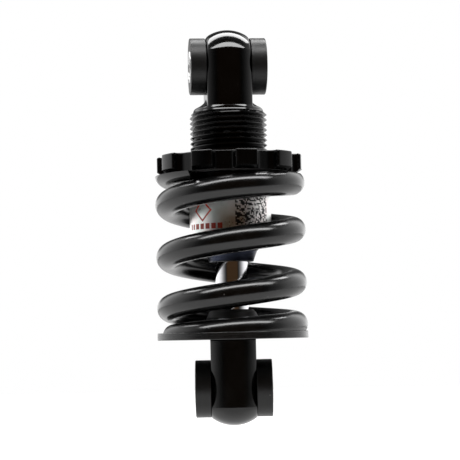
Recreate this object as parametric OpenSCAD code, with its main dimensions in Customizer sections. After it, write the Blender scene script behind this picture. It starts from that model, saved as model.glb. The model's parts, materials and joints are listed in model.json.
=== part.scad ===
// Small coil-over shock absorber: an eye at each end, a threaded upper housing with a notched
// preload collar, a coil spring round a gas-charged damper, and a spring plate on the lower eye.
// Millimetres. The origin is the centre of the upper bolt hole, +X runs along that hole and the
// shock hangs down from it along -Z.

/* [Overall] */
// Distance between the two bolt holes with the shock fully extended
eye_to_eye = 100; // [98:1:106]
// Angle of the lower bolt hole from the upper one, seen from above
lower_eye_turn = 5; // [0:1:20]

/* [Eyes] */
// Width of both eyes across their flats
eye_w = 14; // [13:0.5:15]
// Diameter of the round bar that the upper eye is milled from
head_d = 21.2; // [20.4:0.2:22]
// Diameter of the round bar that the lower eye is milled from
lower_bar_d = 19.2; // [19:0.2:21]
// Diameter of the ball that rounds the lower eye's end
lower_ball_d = 22.7; // [21.5:0.1:24]
// Bore of both eyes, which holds the bushes
eye_bore_d = 13; // [12:0.5:13]
// Flange diameter of the bushes
bush_d = 17.6; // [16.5:0.1:18.5]
// Outer diameter of the steel sleeves
sleeve_d = 10; // [9.8:0.1:10.4]
// Bore of the steel sleeves, for an 8 mm bolt
bolt_bore_d = 8.2; // [8:0.1:8.4]
// Length of the steel sleeves
sleeve_l = 24; // [22:0.5:28]

/* [Upper housing] */
// Depth from the upper bolt hole to the top of the round shoulder
shoulder_top = 12.2; // [11.8:0.2:12.6]
// Depth from the upper bolt hole to the first thread
thread_top = 15.2; // [14.6:0.2:15.8]
// Major diameter of the preload thread
thread_d = 24; // [23.8:0.1:24.4]
// Pitch of the preload thread
thread_pitch = 1.5875; // [1.25:0.0125:1.75]
// Depth of the preload thread
thread_depth = 0.9; // [0.5:0.1:1]
// Bore of the oil chamber
chamber_d = 19; // [18:0.5:19]

/* [Preload collar] */
// Depth from the upper bolt hole to the top of the collar
collar_top = 28.3; // [22:0.1:29]
// Height of the collar
collar_h = 5.7; // [5:0.1:7]
// Outer diameter of the collar
collar_d = 45; // [44:0.5:47]
// Number of spanner notches
notches = 10; // [8:1:12]
// Width of a notch
notch_w = 6.8; // [5:0.1:7]
// Depth of a notch
notch_depth = 2.8; // [2:0.1:3]

/* [Spring] */
// Wire diameter
wire_d = 7.8; // [6:0.1:8.2]
// Outer diameter of the spring
spring_d = 46.5; // [46:0.1:48]

/* [Damper] */
// Outer diameter of the damper tube
tube_d = 25; // [24.6:0.1:25.4]
// Depth from the upper bolt hole to the lower end of the damper tube
tube_end = 55; // [54:0.5:56]
// Diameter of the piston rod
rod_d = 10; // [9:0.5:10]

/* [Spring plate] */
// Height of the plate's underside above the lower bolt hole
plate_h = 15.1; // [14.5:0.1:16]
// Thickness of the plate
plate_t = 2.2; // [1.8:0.1:3]
// Diameter of the plate
plate_d = 46.5; // [46:0.1:48]

/* [Hidden] */
$fn = 72;

slip = 0.02;                                   // gap round a part that slides or turns
run_r = 0.04;                                  // radial running clearance
through = 1;                                   // how far a cutter passes the face it opens

// Upper housing and damper, as depths below the upper bolt
head_ball_z = 0.7;                             // centre of the head's ball end
shoulder_d = 21.8;
shoulder_crown_d = 15;                         // top of the shoulder's cone
shoulder_r = 1.3;                              // rounding below the cone
cone_angle = 26;
thread_end = 38.7;
thread_root_d = thread_d - 2 * thread_depth;
thread_crest = 0.2;                            // flat on each crest
spigot_d = 22;                                 // screws into the damper tube
spigot_end = 44;
chamber_top = 15.6;
tube_top = thread_end + 0.3;
tube_l = tube_end - tube_top;
gland_depth = 5;                               // spigot of the gland inside the tube
gland_d = 21;
nose_end = tube_end + 6;
label_t = 0.15;
label_top = tube_top + 1.2;
label_l = 12.3;
label_gap_deg = 14;                            // open seam at the back of the label

// Collar and the washer under it
collar_bottom = collar_top + collar_h;
collar_bore_d = thread_d + 2 * run_r;
notch_phase = 9;                               // angle of the first notch from +X
notch_r = 2;                                   // corner radius in the foot of a notch
collar_chamfer_r = 1.7;
collar_chamfer_h = 1;
collar_edge = 0.5;
pilot_l = 3;                                   // collar's spigot that centres the spring
washer_t = 0.8;
washer_sink = 0.5;                             // how much of the washer is let into the collar
washer_d = 38.6;

// Lower end, as heights above the lower bolt
spring_bore_d = spring_d - 2 * wire_d;
pilot_d = spring_bore_d - 0.6;
pilot_wall = 1.5;
plate_top = plate_h + plate_t;
plate_edge = 0.5;
plate_pilot_h = 2.5;                           // ring on the plate that centres the spring
plate_gap = 0.1;                               // gap between the plate and the rod
bump_h = 6.9;
bump_d = 17.2;
bump_foot = 2.2;                               // straight part of the stop's foot
bump_waist = 1;                                // how far its waist is drawn in
bump_bulge = 0.4;
rod_socket = 5.5;                              // thread engagement of the rod in the lower eye

// Piston on the rod, as depths below the upper bolt
bumper_t = 2;
bumper_d = 14;
bumper_gap = 0.15;                             // gap between a rubber stop and the rod
gland_top = tube_end - gland_depth;
rod_shoulder = gland_top - bumper_t - 0.1;
shim_t = 0.35;
shim_count = 3;
shim_d = 15.6;                                 // widest shim
shim_step = 2.4;                               // how much smaller the next one is
shims_h = shim_t * shim_count;
piston_h = 6;
piston_d = chamber_d - 0.6;
piston_land = 1.5;
piston_groove = 1;
ports = 6;
port_d = 1.8;
port_r = 5.6;
nut_h = 3.2;
nut_af = 10;
stud_d = 6;
rod_edge = 0.4;
rod_foot = eye_to_eye - plate_h + rod_socket;
piston_bottom = rod_shoulder - shims_h;
piston_top = piston_bottom - piston_h;
nut_bottom = piston_top - shims_h;
stud_top = nut_bottom - nut_h - 0.2;
ring_d = chamber_d - 2 * slip;
floater_top = 22.2;
floater_h = 3.6;
floater_dish = 1.4;                            // depth of the hollow in its gas side
floater_dish_d = 11;
o_ring_r = 0.85;

// Spring centre line: it starts above the top seat at the left and runs down right-handed.
// Turns are counted from the point over the left side, and the ends are ground flat.
seat_gap = 0.02;
spring_top = -collar_bottom + washer_sink - washer_t - seat_gap;
spring_bottom = -eye_to_eye + plate_top + seat_gap;
coil_r = (spring_d - wire_d) / 2;
coil_start_deg = 175;
turn_first = -0.16;
turn_last = 4.12;
turns = 4;
rise_top = 0.6;                                // centre line above the top seat at turn 0
sink_bottom = 1.7;                             // centre line below the bottom seat at turn 4
end_pitch_top = 4.5;
end_pitch_bottom = 7.8;
ramp_top = 1.15;                               // turns over which the pitch opens
ramp_bottom = 1.1;                             // turns over which it closes again
close_from = 2.55;
coil_drop = spring_top + rise_top - (spring_bottom - sink_bottom);
pitch = (coil_drop - end_pitch_top * ramp_top / 2
        - end_pitch_bottom * (turns - close_from - ramp_bottom / 2))
        / (close_from + ramp_bottom / 2 - ramp_top / 2);
wire_sides = 12;
rings_per_turn = 24;

function ramp_sum(x) = x <= 0 ? 0 : x >= 1 ? x - 0.5 : pow(x, 3) - pow(x, 4) / 2;
function coil_z(t) = spring_top + rise_top - end_pitch_top * t
    - (pitch - end_pitch_top) * ramp_top * ramp_sum(t / ramp_top)
    + (pitch - end_pitch_bottom) * ramp_bottom * ramp_sum((t - close_from) / ramp_bottom);

// Point j of the wire's section at turn t. Where a seat plane cuts the section, the points
// run along the arc that is left, and the side between the last and the first is the flat.
function wire_point(t, j) =
    let (
        wire_r = wire_d / 2,
        upper = t < turns / 2,
        beyond = upper ? coil_z(t) - spring_top : spring_bottom - coil_z(t),
        low = asin(max(beyond / wire_r, -cos(180 / wire_sides))),
        k = (j + (upper ? wire_sides / 2 : 0)) % wire_sides,
        a = low + k * (180 - 2 * low) / (wire_sides - 1) + (upper ? 180 : 0),
        r = coil_r + wire_r * cos(a),
        phi = coil_start_deg - 360 * t
    )
    [r * cos(phi), r * sin(phi), coil_z(t) + wire_r * sin(a)];

// A turned piece, from its outline as [radius, z] points
module turned(outline) rotate_extrude() polygon(outline);

// A ring between two heights
module ring(outer_d, inner_d, low, high)
    turned([[inner_d / 2, low], [outer_d / 2, low], [outer_d / 2, high], [inner_d / 2, high]]);

// A round bar along X
module x_bar(d, l) rotate([0, 90, 0]) cylinder(h = l, d = d, center = true);

// Puts a piece in the lower eye's frame
module at_lower_eye() translate([0, 0, -eye_to_eye]) rotate([0, 0, -lower_eye_turn]) children();

// A groove in the outside of a turned piece, as a cutter
module outer_groove(outer_d, depth, low, high)
    ring(outer_d + 2 * through, outer_d - 2 * depth, low, high);

// A rubber ring that lies in a groove cut into a turned piece, and the groove's cutter
module o_ring(outer_d, z)
    translate([0, 0, z])
        rotate_extrude() translate([outer_d / 2 - o_ring_r, 0]) circle(r = o_ring_r, $fn = 32);

module o_ring_groove(outer_d, z)
    outer_groove(outer_d, 2 * o_ring_r + groove_floor_gap, z - o_ring_r - slip, z + o_ring_r + slip);

// Rings that stand for the preload thread, as outline points from the top down
function thread_outline() = [
    for (i = [0 : floor((thread_end - thread_top) / thread_pitch) - 1])
        let (z = -thread_top - i * thread_pitch)
        each [
            [thread_root_d / 2, z],
            [thread_d / 2, z - thread_pitch / 2 + thread_crest / 2],
            [thread_d / 2, z - thread_pitch / 2 - thread_crest / 2],
        ],
];

module housing_barrel() {
    cone_end_r = shoulder_d / 2 - shoulder_r * (1 - sin(cone_angle));
    cone_end_z = -shoulder_top - (cone_end_r - shoulder_crown_d / 2) * tan(cone_angle);
    turned(concat(
        [[0, -shoulder_top], [shoulder_crown_d / 2, -shoulder_top], [cone_end_r, cone_end_z]],
        [for (a = [90 - cone_angle - 16 : -16 : 0])
            [shoulder_d / 2 - shoulder_r * (1 - cos(a)),
             cone_end_z - shoulder_r * (cos(cone_angle) - sin(a))]],
        thread_outline(),
        [[thread_root_d / 2, -thread_end], [spigot_d / 2, -thread_end],
         [spigot_d / 2, -spigot_end], [0, -spigot_end]]
    ));
}

// Ball-ended bar with two milled flats
module housing_head() intersection() {
    union() {
        translate([0, 0, head_ball_z]) sphere(d = head_d);
        translate([0, 0, -thread_top]) cylinder(d = head_d, h = thread_top + head_ball_z);
    }
    translate([-eye_w / 2, -head_d, -thread_top]) cube([eye_w, 2 * head_d, 2 * head_d + thread_top]);
}

module upper_housing() color("#141416") difference() {
    union() {
        housing_head();
        housing_barrel();
    }
    x_bar(eye_bore_d, 2 * eye_w);
    translate([0, 0, -spigot_end - through]) cylinder(d = chamber_d, h = spigot_end - chamber_top + through);
}

// Flanged bush for one side of an eye, turned about X, with its flange outwards
module bush(side) color("#242426") rotate([0, 90 * side, 0]) {
    flange_end = sleeve_l / 2 - 0.2;
    edge = 0.5;
    turned([
        [sleeve_d / 2 + run_r, 0.2], [eye_bore_d / 2, 0.2], [eye_bore_d / 2, eye_w / 2],
        [bush_d / 2, eye_w / 2], [bush_d / 2, flange_end - edge],
        [bush_d / 2 - edge, flange_end], [sleeve_d / 2 + run_r, flange_end],
    ]);
}

// Steel tube that the bolt clamps, and that the bushes turn on
module sleeve() color("#b9bcc2") rotate([0, 90, 0]) {
    half = sleeve_l / 2;
    edge = 0.35;
    turned([
        [bolt_bore_d / 2, -half], [sleeve_d / 2 - edge, -half], [sleeve_d / 2, -half + edge],
        [sleeve_d / 2, half - edge], [sleeve_d / 2 - edge, half], [bolt_bore_d / 2, half],
    ]);
}

module upper_bush_left() bush(-1);
module upper_bush_right() bush(1);
module upper_sleeve() sleeve();

// Outline of one notch, flat-footed with round corners, cut in from the rim
module notch_cutter() {
    reach = collar_d / 2;
    translate([reach - notch_depth, -notch_w / 2 + notch_r]) square([reach, notch_w - 2 * notch_r]);
    translate([reach - notch_depth + notch_r, -notch_w / 2]) square([reach, notch_w]);
    for (side = [-1, 1])
        translate([reach - notch_depth + notch_r, side * (notch_w / 2 - notch_r)]) circle(r = notch_r);
}

module preload_collar() color("#101012") difference() {
    turned([
        [collar_bore_d / 2, -collar_top], [collar_d / 2 - collar_edge, -collar_top],
        [collar_d / 2, -collar_top - collar_edge], [collar_d / 2, -collar_bottom + collar_chamfer_h],
        [collar_d / 2 - collar_chamfer_r, -collar_bottom], [washer_d / 2 + slip, -collar_bottom],
        [washer_d / 2 + slip, -collar_bottom + washer_sink + slip],
        [pilot_d / 2, -collar_bottom + washer_sink + slip],
        [pilot_d / 2, -collar_bottom - pilot_l + collar_edge],
        [pilot_d / 2 - collar_edge, -collar_bottom - pilot_l], [collar_bore_d / 2, -collar_bottom - pilot_l],
    ]);
    translate([0, 0, -collar_bottom - through])
        linear_extrude(height = collar_h + 2 * through)
            for (i = [0 : notches - 1]) rotate(notch_phase + i * 360 / notches) notch_cutter();
}

module seat_washer() color("#2a2a2c")
    ring(washer_d, pilot_d + 2 * slip,
         -collar_bottom + washer_sink - washer_t, -collar_bottom + washer_sink);

module coil_spring() color("#1c1c1f") {
    rings = round((turn_last - turn_first) * rings_per_turn);
    points = [
        for (i = [0 : rings], j = [0 : wire_sides - 1])
            wire_point(turn_first + (turn_last - turn_first) * i / rings, j)
    ];
    skin = [
        for (i = [0 : rings - 1], j = [0 : wire_sides - 1])
            let (a = i * wire_sides + j, b = i * wire_sides + (j + 1) % wire_sides)
            each [[a, b, b + wire_sides], [a, b + wire_sides, a + wire_sides]]
    ];
    first_end = [for (j = [1 : wire_sides - 2]) [0, j + 1, j]];
    last = rings * wire_sides;
    last_end = [for (j = [1 : wire_sides - 2]) [last, last + j, last + j + 1]];
    polyhedron(points, concat(skin, first_end, last_end));
}

module damper_tube() color("#cfd2d6") difference() {
    translate([0, 0, -tube_end]) cylinder(d = tube_d, h = tube_l);
    translate([0, 0, -tube_end - through]) cylinder(d = chamber_d, h = tube_l + 2 * through);
    translate([0, 0, -spigot_end]) cylinder(d = spigot_d, h = tube_l);
    translate([0, 0, -tube_end - through]) cylinder(d = gland_d, h = gland_depth + through);
}

module tube_label() color("#e4e4e2") difference() {
    ring(tube_d + 2 * label_t, tube_d, -label_top - label_l, -label_top);
    rotate([0, 0, 90 - label_gap_deg / 2])
        linear_extrude(height = 3 * tube_end, center = true)
            polygon([[0, 0], [tube_d, 0], [tube_d * cos(label_gap_deg), tube_d * sin(label_gap_deg)]]);
}

// The gland closes the tube, with a tapered nose round the rod
gland_bore_d = rod_d + 0.6;
guide_l = 4;
seal_l = 3;
seal_lip_l = 1.2;
seal_pocket_d = 15.2;
seal_floor = gland_top + guide_l + seal_l;
wiper_pocket_d = 12.2;
wiper_l = 2;
wiper_in = 0.2;                                // how far the wiper sits inside the nose
wiper_lip = 0.5;
groove_floor_gap = 0.05;                       // gap between an O-ring and its groove's floor
gland_o_ring_z = -gland_top - 2.3;
nose_rim_d = 20.4;                             // where the nose starts, below the tube
nose_mid_d = 16.1;
nose_tip_d = 13.7;
nose_rim_l = 0.6;
nose_mid_l = 2.8;

module gland_nut() color("#7f8794") difference() {
    turned([
        [gland_bore_d / 2, -nose_end], [nose_tip_d / 2, -nose_end],
        [nose_mid_d / 2, -tube_end - nose_mid_l], [nose_rim_d / 2, -tube_end - nose_rim_l],
        [nose_rim_d / 2, -tube_end], [gland_d / 2, -tube_end],
        [gland_d / 2, -gland_top], [gland_bore_d / 2, -gland_top],
    ]);
    translate([0, 0, -seal_floor]) cylinder(d = seal_pocket_d, h = seal_floor);
    translate([0, 0, -nose_end - through]) cylinder(d = wiper_pocket_d, h = wiper_l + through);
    o_ring_groove(gland_d, gland_o_ring_z);
}

module gland_o_ring() color("#1a1a1a")
    o_ring(gland_d, gland_o_ring_z);

module rod_guide() color("#a6814c")
    ring(seal_pocket_d, rod_d + 2 * run_r, -gland_top - guide_l, -gland_top);

module rod_seal() color("#26282b") turned([
    [rod_d / 2 + slip, -gland_top - guide_l - seal_lip_l], [rod_d / 2 + seal_lip_l, -gland_top - guide_l],
    [seal_pocket_d / 2, -gland_top - guide_l], [seal_pocket_d / 2, -seal_floor],
    [rod_d / 2 + slip, -seal_floor],
]);

module wiper_seal() color("#26282b") turned([
    [rod_d / 2 + slip, -nose_end + wiper_in], [rod_d / 2 + wiper_lip, -nose_end + wiper_in],
    [wiper_pocket_d / 2, -nose_end + wiper_in + wiper_lip], [wiper_pocket_d / 2, -nose_end + wiper_l],
    [rod_d / 2 + slip, -nose_end + wiper_l],
]);

module top_out_bumper() color("#7a2f28")
    ring(bumper_d, rod_d + 2 * bumper_gap, -gland_top, -gland_top + bumper_t);

module floating_piston() color("#b0894f") difference() {
    translate([0, 0, -floater_top - floater_h]) cylinder(d = ring_d - 2 * slip, h = floater_h);
    translate([0, 0, -floater_top - floater_dish]) cylinder(d = floater_dish_d, h = floater_dish + through);
    o_ring_groove(ring_d, -floater_top - floater_h / 2);
}

module floating_piston_ring() color("#1a1a1a")
    o_ring(ring_d, -floater_top - floater_h / 2);

module piston_rod() color("#e2e5e9") turned([
    [0, -rod_foot], [rod_d / 2 - rod_edge, -rod_foot], [rod_d / 2, -rod_foot + rod_edge],
    [rod_d / 2, -rod_shoulder], [stud_d / 2, -rod_shoulder], [stud_d / 2, -stud_top - rod_edge],
    [stud_d / 2 - rod_edge, -stud_top], [0, -stud_top],
]);

// Stack of thin discs, widest against the piston
module shims(low, widest_first)
    for (i = [0 : shim_count - 1]) {
        step = widest_first ? i : shim_count - 1 - i;
        ring(shim_d - shim_step * step, stud_d, low + i * shim_t, low + (i + 1) * shim_t);
    }

module rebound_shims() color("#9aa0a8") shims(-rod_shoulder, false);
module compression_shims() color("#9aa0a8") shims(-piston_top, true);

module piston() color("#c9a45a") difference() {
    ring(piston_d, stud_d, -piston_bottom, -piston_top);
    outer_groove(piston_d, piston_groove, -piston_bottom + piston_land, -piston_top - piston_land);
    for (i = [0 : ports - 1])
        rotate([0, 0, i * 360 / ports]) translate([port_r, 0, -piston_bottom - through])
            cylinder(d = port_d, h = piston_h + 2 * through);
}

module piston_ring() color("#e9e6dc")
    ring(ring_d, piston_d - 2 * piston_groove, -piston_bottom + piston_land, -piston_top - piston_land);

module piston_nut() color("#8f949b") difference() {
    translate([0, 0, -nut_bottom]) cylinder(d = nut_af / cos(30), h = nut_h, $fn = 6);
    translate([0, 0, -nut_bottom - through]) cylinder(d = stud_d, h = nut_h + 2 * through);
}

module bump_stop() color("#2b2b2d") {
    base = -eye_to_eye + plate_top;
    turned([
        [rod_d / 2 + bumper_gap, base], [bump_d / 2, base], [bump_d / 2, base + bump_foot],
        [bump_d / 2 - bump_waist, base + bump_foot + 0.9], [bump_d / 2 - bump_bulge, base + bump_foot + 2],
        [bump_d / 2 - 1.4, base + bump_h - 0.8], [bump_d / 2 - 2.2, base + bump_h],
        [rod_d / 2 + bumper_gap, base + bump_h],
    ]);
}

module lower_seat_plate() color("#1b1b1d") {
    base = -eye_to_eye + plate_h;
    top = -eye_to_eye + plate_top;
    turned([
        [rod_d / 2 + plate_gap, base], [plate_d / 2 - plate_edge, base], [plate_d / 2, base + plate_edge],
        [plate_d / 2, top - plate_edge], [plate_d / 2 - plate_edge, top], [pilot_d / 2, top],
        [pilot_d / 2, top + plate_pilot_h - plate_edge], [pilot_d / 2 - plate_edge, top + plate_pilot_h],
        [pilot_d / 2 - pilot_wall, top + plate_pilot_h], [pilot_d / 2 - pilot_wall, top],
        [rod_d / 2 + plate_gap, top],
    ]);
}

// Bar with two milled flats and a domed end, which carries the plate and the rod
module lower_eye() color("#19191b") at_lower_eye() difference() {
    intersection() {
        union() {
            sphere(d = lower_ball_d);
            cylinder(d = lower_bar_d, h = plate_h);
        }
        translate([0, 0, -lower_ball_d]) cylinder(d = lower_bar_d, h = lower_ball_d + plate_h);
        translate([-eye_w / 2, -lower_ball_d, -lower_ball_d])
            cube([eye_w, 2 * lower_ball_d, 3 * lower_ball_d]);
    }
    x_bar(eye_bore_d, 2 * eye_w);
    translate([0, 0, plate_h - rod_socket]) cylinder(d = rod_d, h = rod_socket + through);
}

module lower_bush_left() at_lower_eye() bush(-1);
module lower_bush_right() at_lower_eye() bush(1);
module lower_sleeve() at_lower_eye() sleeve();

upper_housing();
upper_bush_left();
upper_bush_right();
upper_sleeve();
preload_collar();
seat_washer();
coil_spring();
damper_tube();
tube_label();
gland_nut();
gland_o_ring();
rod_guide();
rod_seal();
wiper_seal();
top_out_bumper();
floating_piston();
floating_piston_ring();
piston_rod();
rebound_shims();
piston();
piston_ring();
compression_shims();
piston_nut();
bump_stop();
lower_seat_plate();
lower_eye();
lower_bush_left();
lower_bush_right();
lower_sleeve();
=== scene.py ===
import json
import math

import bmesh
import bpy
import numpy as np
from mathutils import Matrix, Vector


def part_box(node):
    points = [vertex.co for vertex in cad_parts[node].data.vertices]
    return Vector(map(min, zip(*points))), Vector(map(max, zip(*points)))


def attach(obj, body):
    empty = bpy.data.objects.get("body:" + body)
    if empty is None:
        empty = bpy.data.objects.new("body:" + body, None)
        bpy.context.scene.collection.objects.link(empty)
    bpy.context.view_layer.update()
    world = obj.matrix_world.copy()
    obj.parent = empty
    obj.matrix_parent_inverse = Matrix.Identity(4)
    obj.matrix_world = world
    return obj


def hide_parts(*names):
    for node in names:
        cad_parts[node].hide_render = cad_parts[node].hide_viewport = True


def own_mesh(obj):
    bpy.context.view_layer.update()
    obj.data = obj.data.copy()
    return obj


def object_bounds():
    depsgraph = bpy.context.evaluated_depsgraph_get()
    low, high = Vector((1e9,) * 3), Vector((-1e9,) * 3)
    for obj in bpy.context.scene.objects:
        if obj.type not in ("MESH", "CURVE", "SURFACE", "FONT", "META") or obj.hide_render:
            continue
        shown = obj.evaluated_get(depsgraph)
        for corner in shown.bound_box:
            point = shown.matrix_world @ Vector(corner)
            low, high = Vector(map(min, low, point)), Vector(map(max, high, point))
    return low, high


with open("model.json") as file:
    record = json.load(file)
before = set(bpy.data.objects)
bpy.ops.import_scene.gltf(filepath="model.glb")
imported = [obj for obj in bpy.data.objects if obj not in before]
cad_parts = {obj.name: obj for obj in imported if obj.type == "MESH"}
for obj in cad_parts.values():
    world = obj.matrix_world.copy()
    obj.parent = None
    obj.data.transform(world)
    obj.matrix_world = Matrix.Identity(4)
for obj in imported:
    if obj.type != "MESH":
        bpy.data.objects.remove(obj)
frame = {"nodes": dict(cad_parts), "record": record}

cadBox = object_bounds()
mm = 0.001
collection = bpy.context.scene.collection
mounts = {m["name"]: m for m in frame["record"]["mounts"]}
upperBolt = Vector(mounts["upper_eye"]["pos_m"])
lowerBolt = Vector(mounts["lower_eye"]["pos_m"])
lowerAxis = Vector(mounts["lower_eye"]["axis"])
lowerTurn = math.atan2(lowerAxis.y, lowerAxis.x)  # the lower bolt isn't quite parallel to the upper one
upright = Matrix.Identity(4)
upperPlace = Matrix.Translation(upperBolt)
lowerPlace = Matrix.Translation(lowerBolt) @ Matrix.Rotation(lowerTurn, 4, "Z")
acrossEye = Matrix.Rotation(math.radians(90), 4, "Y")  # turns a piece made about Z to lie along the bolt


# Tools for making meshes. Sizes are in millimetres until the piece is placed.

def heightsOf(node):
    low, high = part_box(node)
    return high.z / mm, low.z / mm


def smoothMin(a, b, blend):
    share = np.clip(0.5 + 0.5 * (b - a) / blend, 0, 1)
    return b * (1 - share) + a * share - blend * share * (1 - share)


def smoothMax(a, b, blend):
    return -smoothMin(-a, -b, blend)


def roundedOutline(corners, steps=7, support=0.07):
    # corners are (radius, height, rounding); closed all round unless it starts on the axis
    closed = corners[0][0] > 0
    count = len(corners)
    points = []
    for i, corner in enumerate(corners):
        here = np.array(corner[:2], float)
        rounding = corner[2] if len(corner) > 2 else 0
        if not rounding or (not closed and i in (0, count - 1)):
            points.append(here)
            continue
        back = np.array(corners[i - 1][:2], float) - here
        ahead = np.array(corners[(i + 1) % count][:2], float) - here
        backLength, aheadLength = np.linalg.norm(back), np.linalg.norm(ahead)
        back, ahead = back / backLength, ahead / aheadLength
        half = math.acos(np.clip(back @ ahead, -1, 1)) / 2
        reach = rounding / math.tan(half)
        middle = here + (back + ahead) / np.linalg.norm(back + ahead) * rounding / math.sin(half)
        if reach + support < backLength * 0.98:
            points.append(here + back * (reach + support))
        first, last = here + back * reach - middle, here + ahead * reach - middle
        sweep = math.pi - 2 * half
        for k in range(steps + 1):
            s = k / steps
            arc = first * math.sin((1 - s) * sweep) + last * math.sin(s * sweep)
            points.append(middle + arc / math.sin(sweep))
        if reach + support < aheadLength * 0.98:
            points.append(here + ahead * (reach + support))
    if closed:
        points.append(points[0])
    return np.array(points)


def columnAngles(columns, crowded=(), width=4, extra=4):
    # angles from 0 to a full turn, closer together round the crowded ones
    fine = np.linspace(0, 360, 7201)
    density = np.ones_like(fine)
    for angle in crowded:
        away = np.abs((fine - angle + 180) % 360 - 180)
        density += extra * np.exp(-(away / width) ** 2)
    total = np.concatenate([[0], np.cumsum((density[1:] + density[:-1]) / 2)])
    return np.radians(np.interp(np.linspace(0, total[-1], columns + 1), total, fine))


def sheetRound(radii, levels, angles):
    # one sheet of points round Z: a row for each level, a column for each angle
    radii, levels = (table if np.ndim(table) == 2 else np.outer(table, np.ones(len(angles)))
                     for table in (radii, levels))
    return np.stack([radii * np.cos(angles), radii * np.sin(angles), levels], -1)


def distancesOf(sheet):
    # how far each row lies along the surface from the first one
    steps = np.linalg.norm(np.diff(sheet, axis=0), axis=-1)
    return np.concatenate([np.zeros((1, sheet.shape[1])), np.cumsum(steps, axis=0)])


def pieceFromSheets(name, sheets, place, angles=None, sharp=38, uvOf=None):
    points, uvs, faces, start = [], [], [], 0
    for sheet in sheets:
        rows, columns = sheet.shape[:2]
        turn = np.linspace(0, 2 * math.pi, columns) if angles is None else angles
        along = distancesOf(sheet)
        around = np.broadcast_to(turn, along.shape) * np.hypot(sheet[..., 0], sheet[..., 1]).max()
        points.append(sheet.reshape(-1, 3))
        uvs.append((uvOf(sheet, turn) if uvOf else np.stack([around, along], -1)).reshape(-1, 2))
        i, j = np.meshgrid(np.arange(rows - 1), np.arange(columns - 1), indexing="ij")
        corner = (start + i * columns + j).ravel()
        faces.append(np.stack([corner, corner + columns, corner + columns + 1, corner + 1], -1))
        start += rows * columns
    points, uvs, faces = np.concatenate(points), np.concatenate(uvs), np.concatenate(faces)
    mesh = bpy.data.meshes.new(name)
    mesh.from_pydata((points * mm).tolist(), [], faces.tolist())
    mesh.uv_layers.new(name="surface").data.foreach_set("uv", uvs[faces.ravel()].ravel().astype(np.float32))
    return finishMesh(name, mesh, place, sharp)


def shadeSmooth(mesh, sharp):
    mesh.shade_smooth()
    mesh.set_sharp_from_angle(angle=math.radians(sharp))


def finishMesh(name, mesh, place, sharp=38):
    work = bmesh.new()
    work.from_mesh(mesh)
    bmesh.ops.remove_doubles(work, verts=work.verts, dist=0.0005 * mm)
    bmesh.ops.dissolve_degenerate(work, dist=0.0002 * mm, edges=work.edges)
    bmesh.ops.recalc_face_normals(work, faces=work.faces)
    work.to_mesh(mesh)
    work.free()
    mesh.transform(place)
    shadeSmooth(mesh, sharp)
    piece = bpy.data.objects.new(name, mesh)
    collection.objects.link(piece)
    return piece


def turnedPiece(name, corners, place, sides=144, sharp=38, steps=7):
    outline = roundedOutline(corners, steps)
    angles = np.linspace(0, 2 * math.pi, sides + 1)
    return pieceFromSheets(name, [sheetRound(outline[:, 0], outline[:, 1], angles)], place, angles, sharp)


def cutAway(piece, cutter, sharp=38):
    # takes the cutter out of the piece and throws it away
    cut = piece.modifiers.new("cut", "BOOLEAN")
    cut.operation, cut.solver, cut.object = "DIFFERENCE", "EXACT", cutter
    makePlain(piece)
    bpy.data.objects.remove(cutter)
    shadeSmooth(piece.data, sharp)


def fillFlats(piece, levels, sharp=38):
    # closes the flat faces left open between an outer and an inner edge
    work = bmesh.new()
    work.from_mesh(piece.data)
    for level in levels:
        rim = [e for e in work.edges
               if e.is_boundary and all(abs(v.co.z / mm - level) < 0.01 for v in e.verts)]
        bmesh.ops.triangle_fill(work, use_beauty=True, edges=rim, normal=(0, 0, 1))
    bmesh.ops.recalc_face_normals(work, faces=work.faces)
    print(piece.name, "open edges", sum(e.is_boundary for e in work.edges))
    work.to_mesh(piece.data)
    work.free()
    shadeSmooth(piece.data, sharp)


def makePlain(piece):
    graph = bpy.context.evaluated_depsgraph_get()
    plain = bpy.data.meshes.new_from_object(piece.evaluated_get(graph))
    piece.modifiers.clear()
    piece.data = plain


def flatSides(p):
    # columns crowded at the corners of a bar with two flats, and how far the flats are in each
    corner = math.degrees(math.acos(p["flatHalf"] / p["barRadius"]))
    angles = columnAngles(p["columns"], [corner, 180 - corner, 180 + corner, 360 - corner], 4, 5)
    return angles, p["flatHalf"] / np.maximum(np.abs(np.cos(angles)), 1e-3)


def boreEye(piece, place, p, sharp):
    reach = 2 * p["flatHalf"]
    corners = [(0, -reach), (p["boreRadius"], -reach), (p["boreRadius"], reach), (0, reach)]
    cutAway(piece, turnedPiece("bore", corners, place @ acrossEye, 96), sharp)


# Tools for making materials

def addNode(tree, kind, inputs=None, **settings):
    node = tree.nodes.new(kind)
    for key, value in settings.items():
        setattr(node, key, value)
    for key, value in (inputs or {}).items():
        if isinstance(value, bpy.types.NodeSocket):
            tree.links.new(value, node.inputs[key])
        else:
            node.inputs[key].default_value = value
    return node


def calc(tree, operation, *values):
    return addNode(tree, "ShaderNodeMath", dict(enumerate(values)), operation=operation).outputs[0]


def plus(tree, first, second):
    return calc(tree, "ADD", first, second)


def minus(tree, first, second):
    return calc(tree, "SUBTRACT", first, second)


def times(tree, first, second):
    return calc(tree, "MULTIPLY", first, second)


def over(tree, first, second):
    return calc(tree, "DIVIDE", first, second)


def remap(tree, value, fromLow, fromHigh, toLow=0.0, toHigh=1.0):
    inputs = {"Value": value, "From Min": fromLow, "From Max": fromHigh, "To Min": toLow, "To Max": toHigh}
    return addNode(tree, "ShaderNodeMapRange", inputs).outputs["Result"]


def mixValue(tree, factor, first, second):
    return addNode(tree, "ShaderNodeMix", {0: factor, 2: first, 3: second}).outputs[0]


def noise(tree, vector, scale, detail=2.0, rough=0.5):
    inputs = {"Vector": vector, "Scale": scale, "Detail": detail, "Roughness": rough}
    return addNode(tree, "ShaderNodeTexNoise", inputs).outputs["Fac"]


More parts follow.
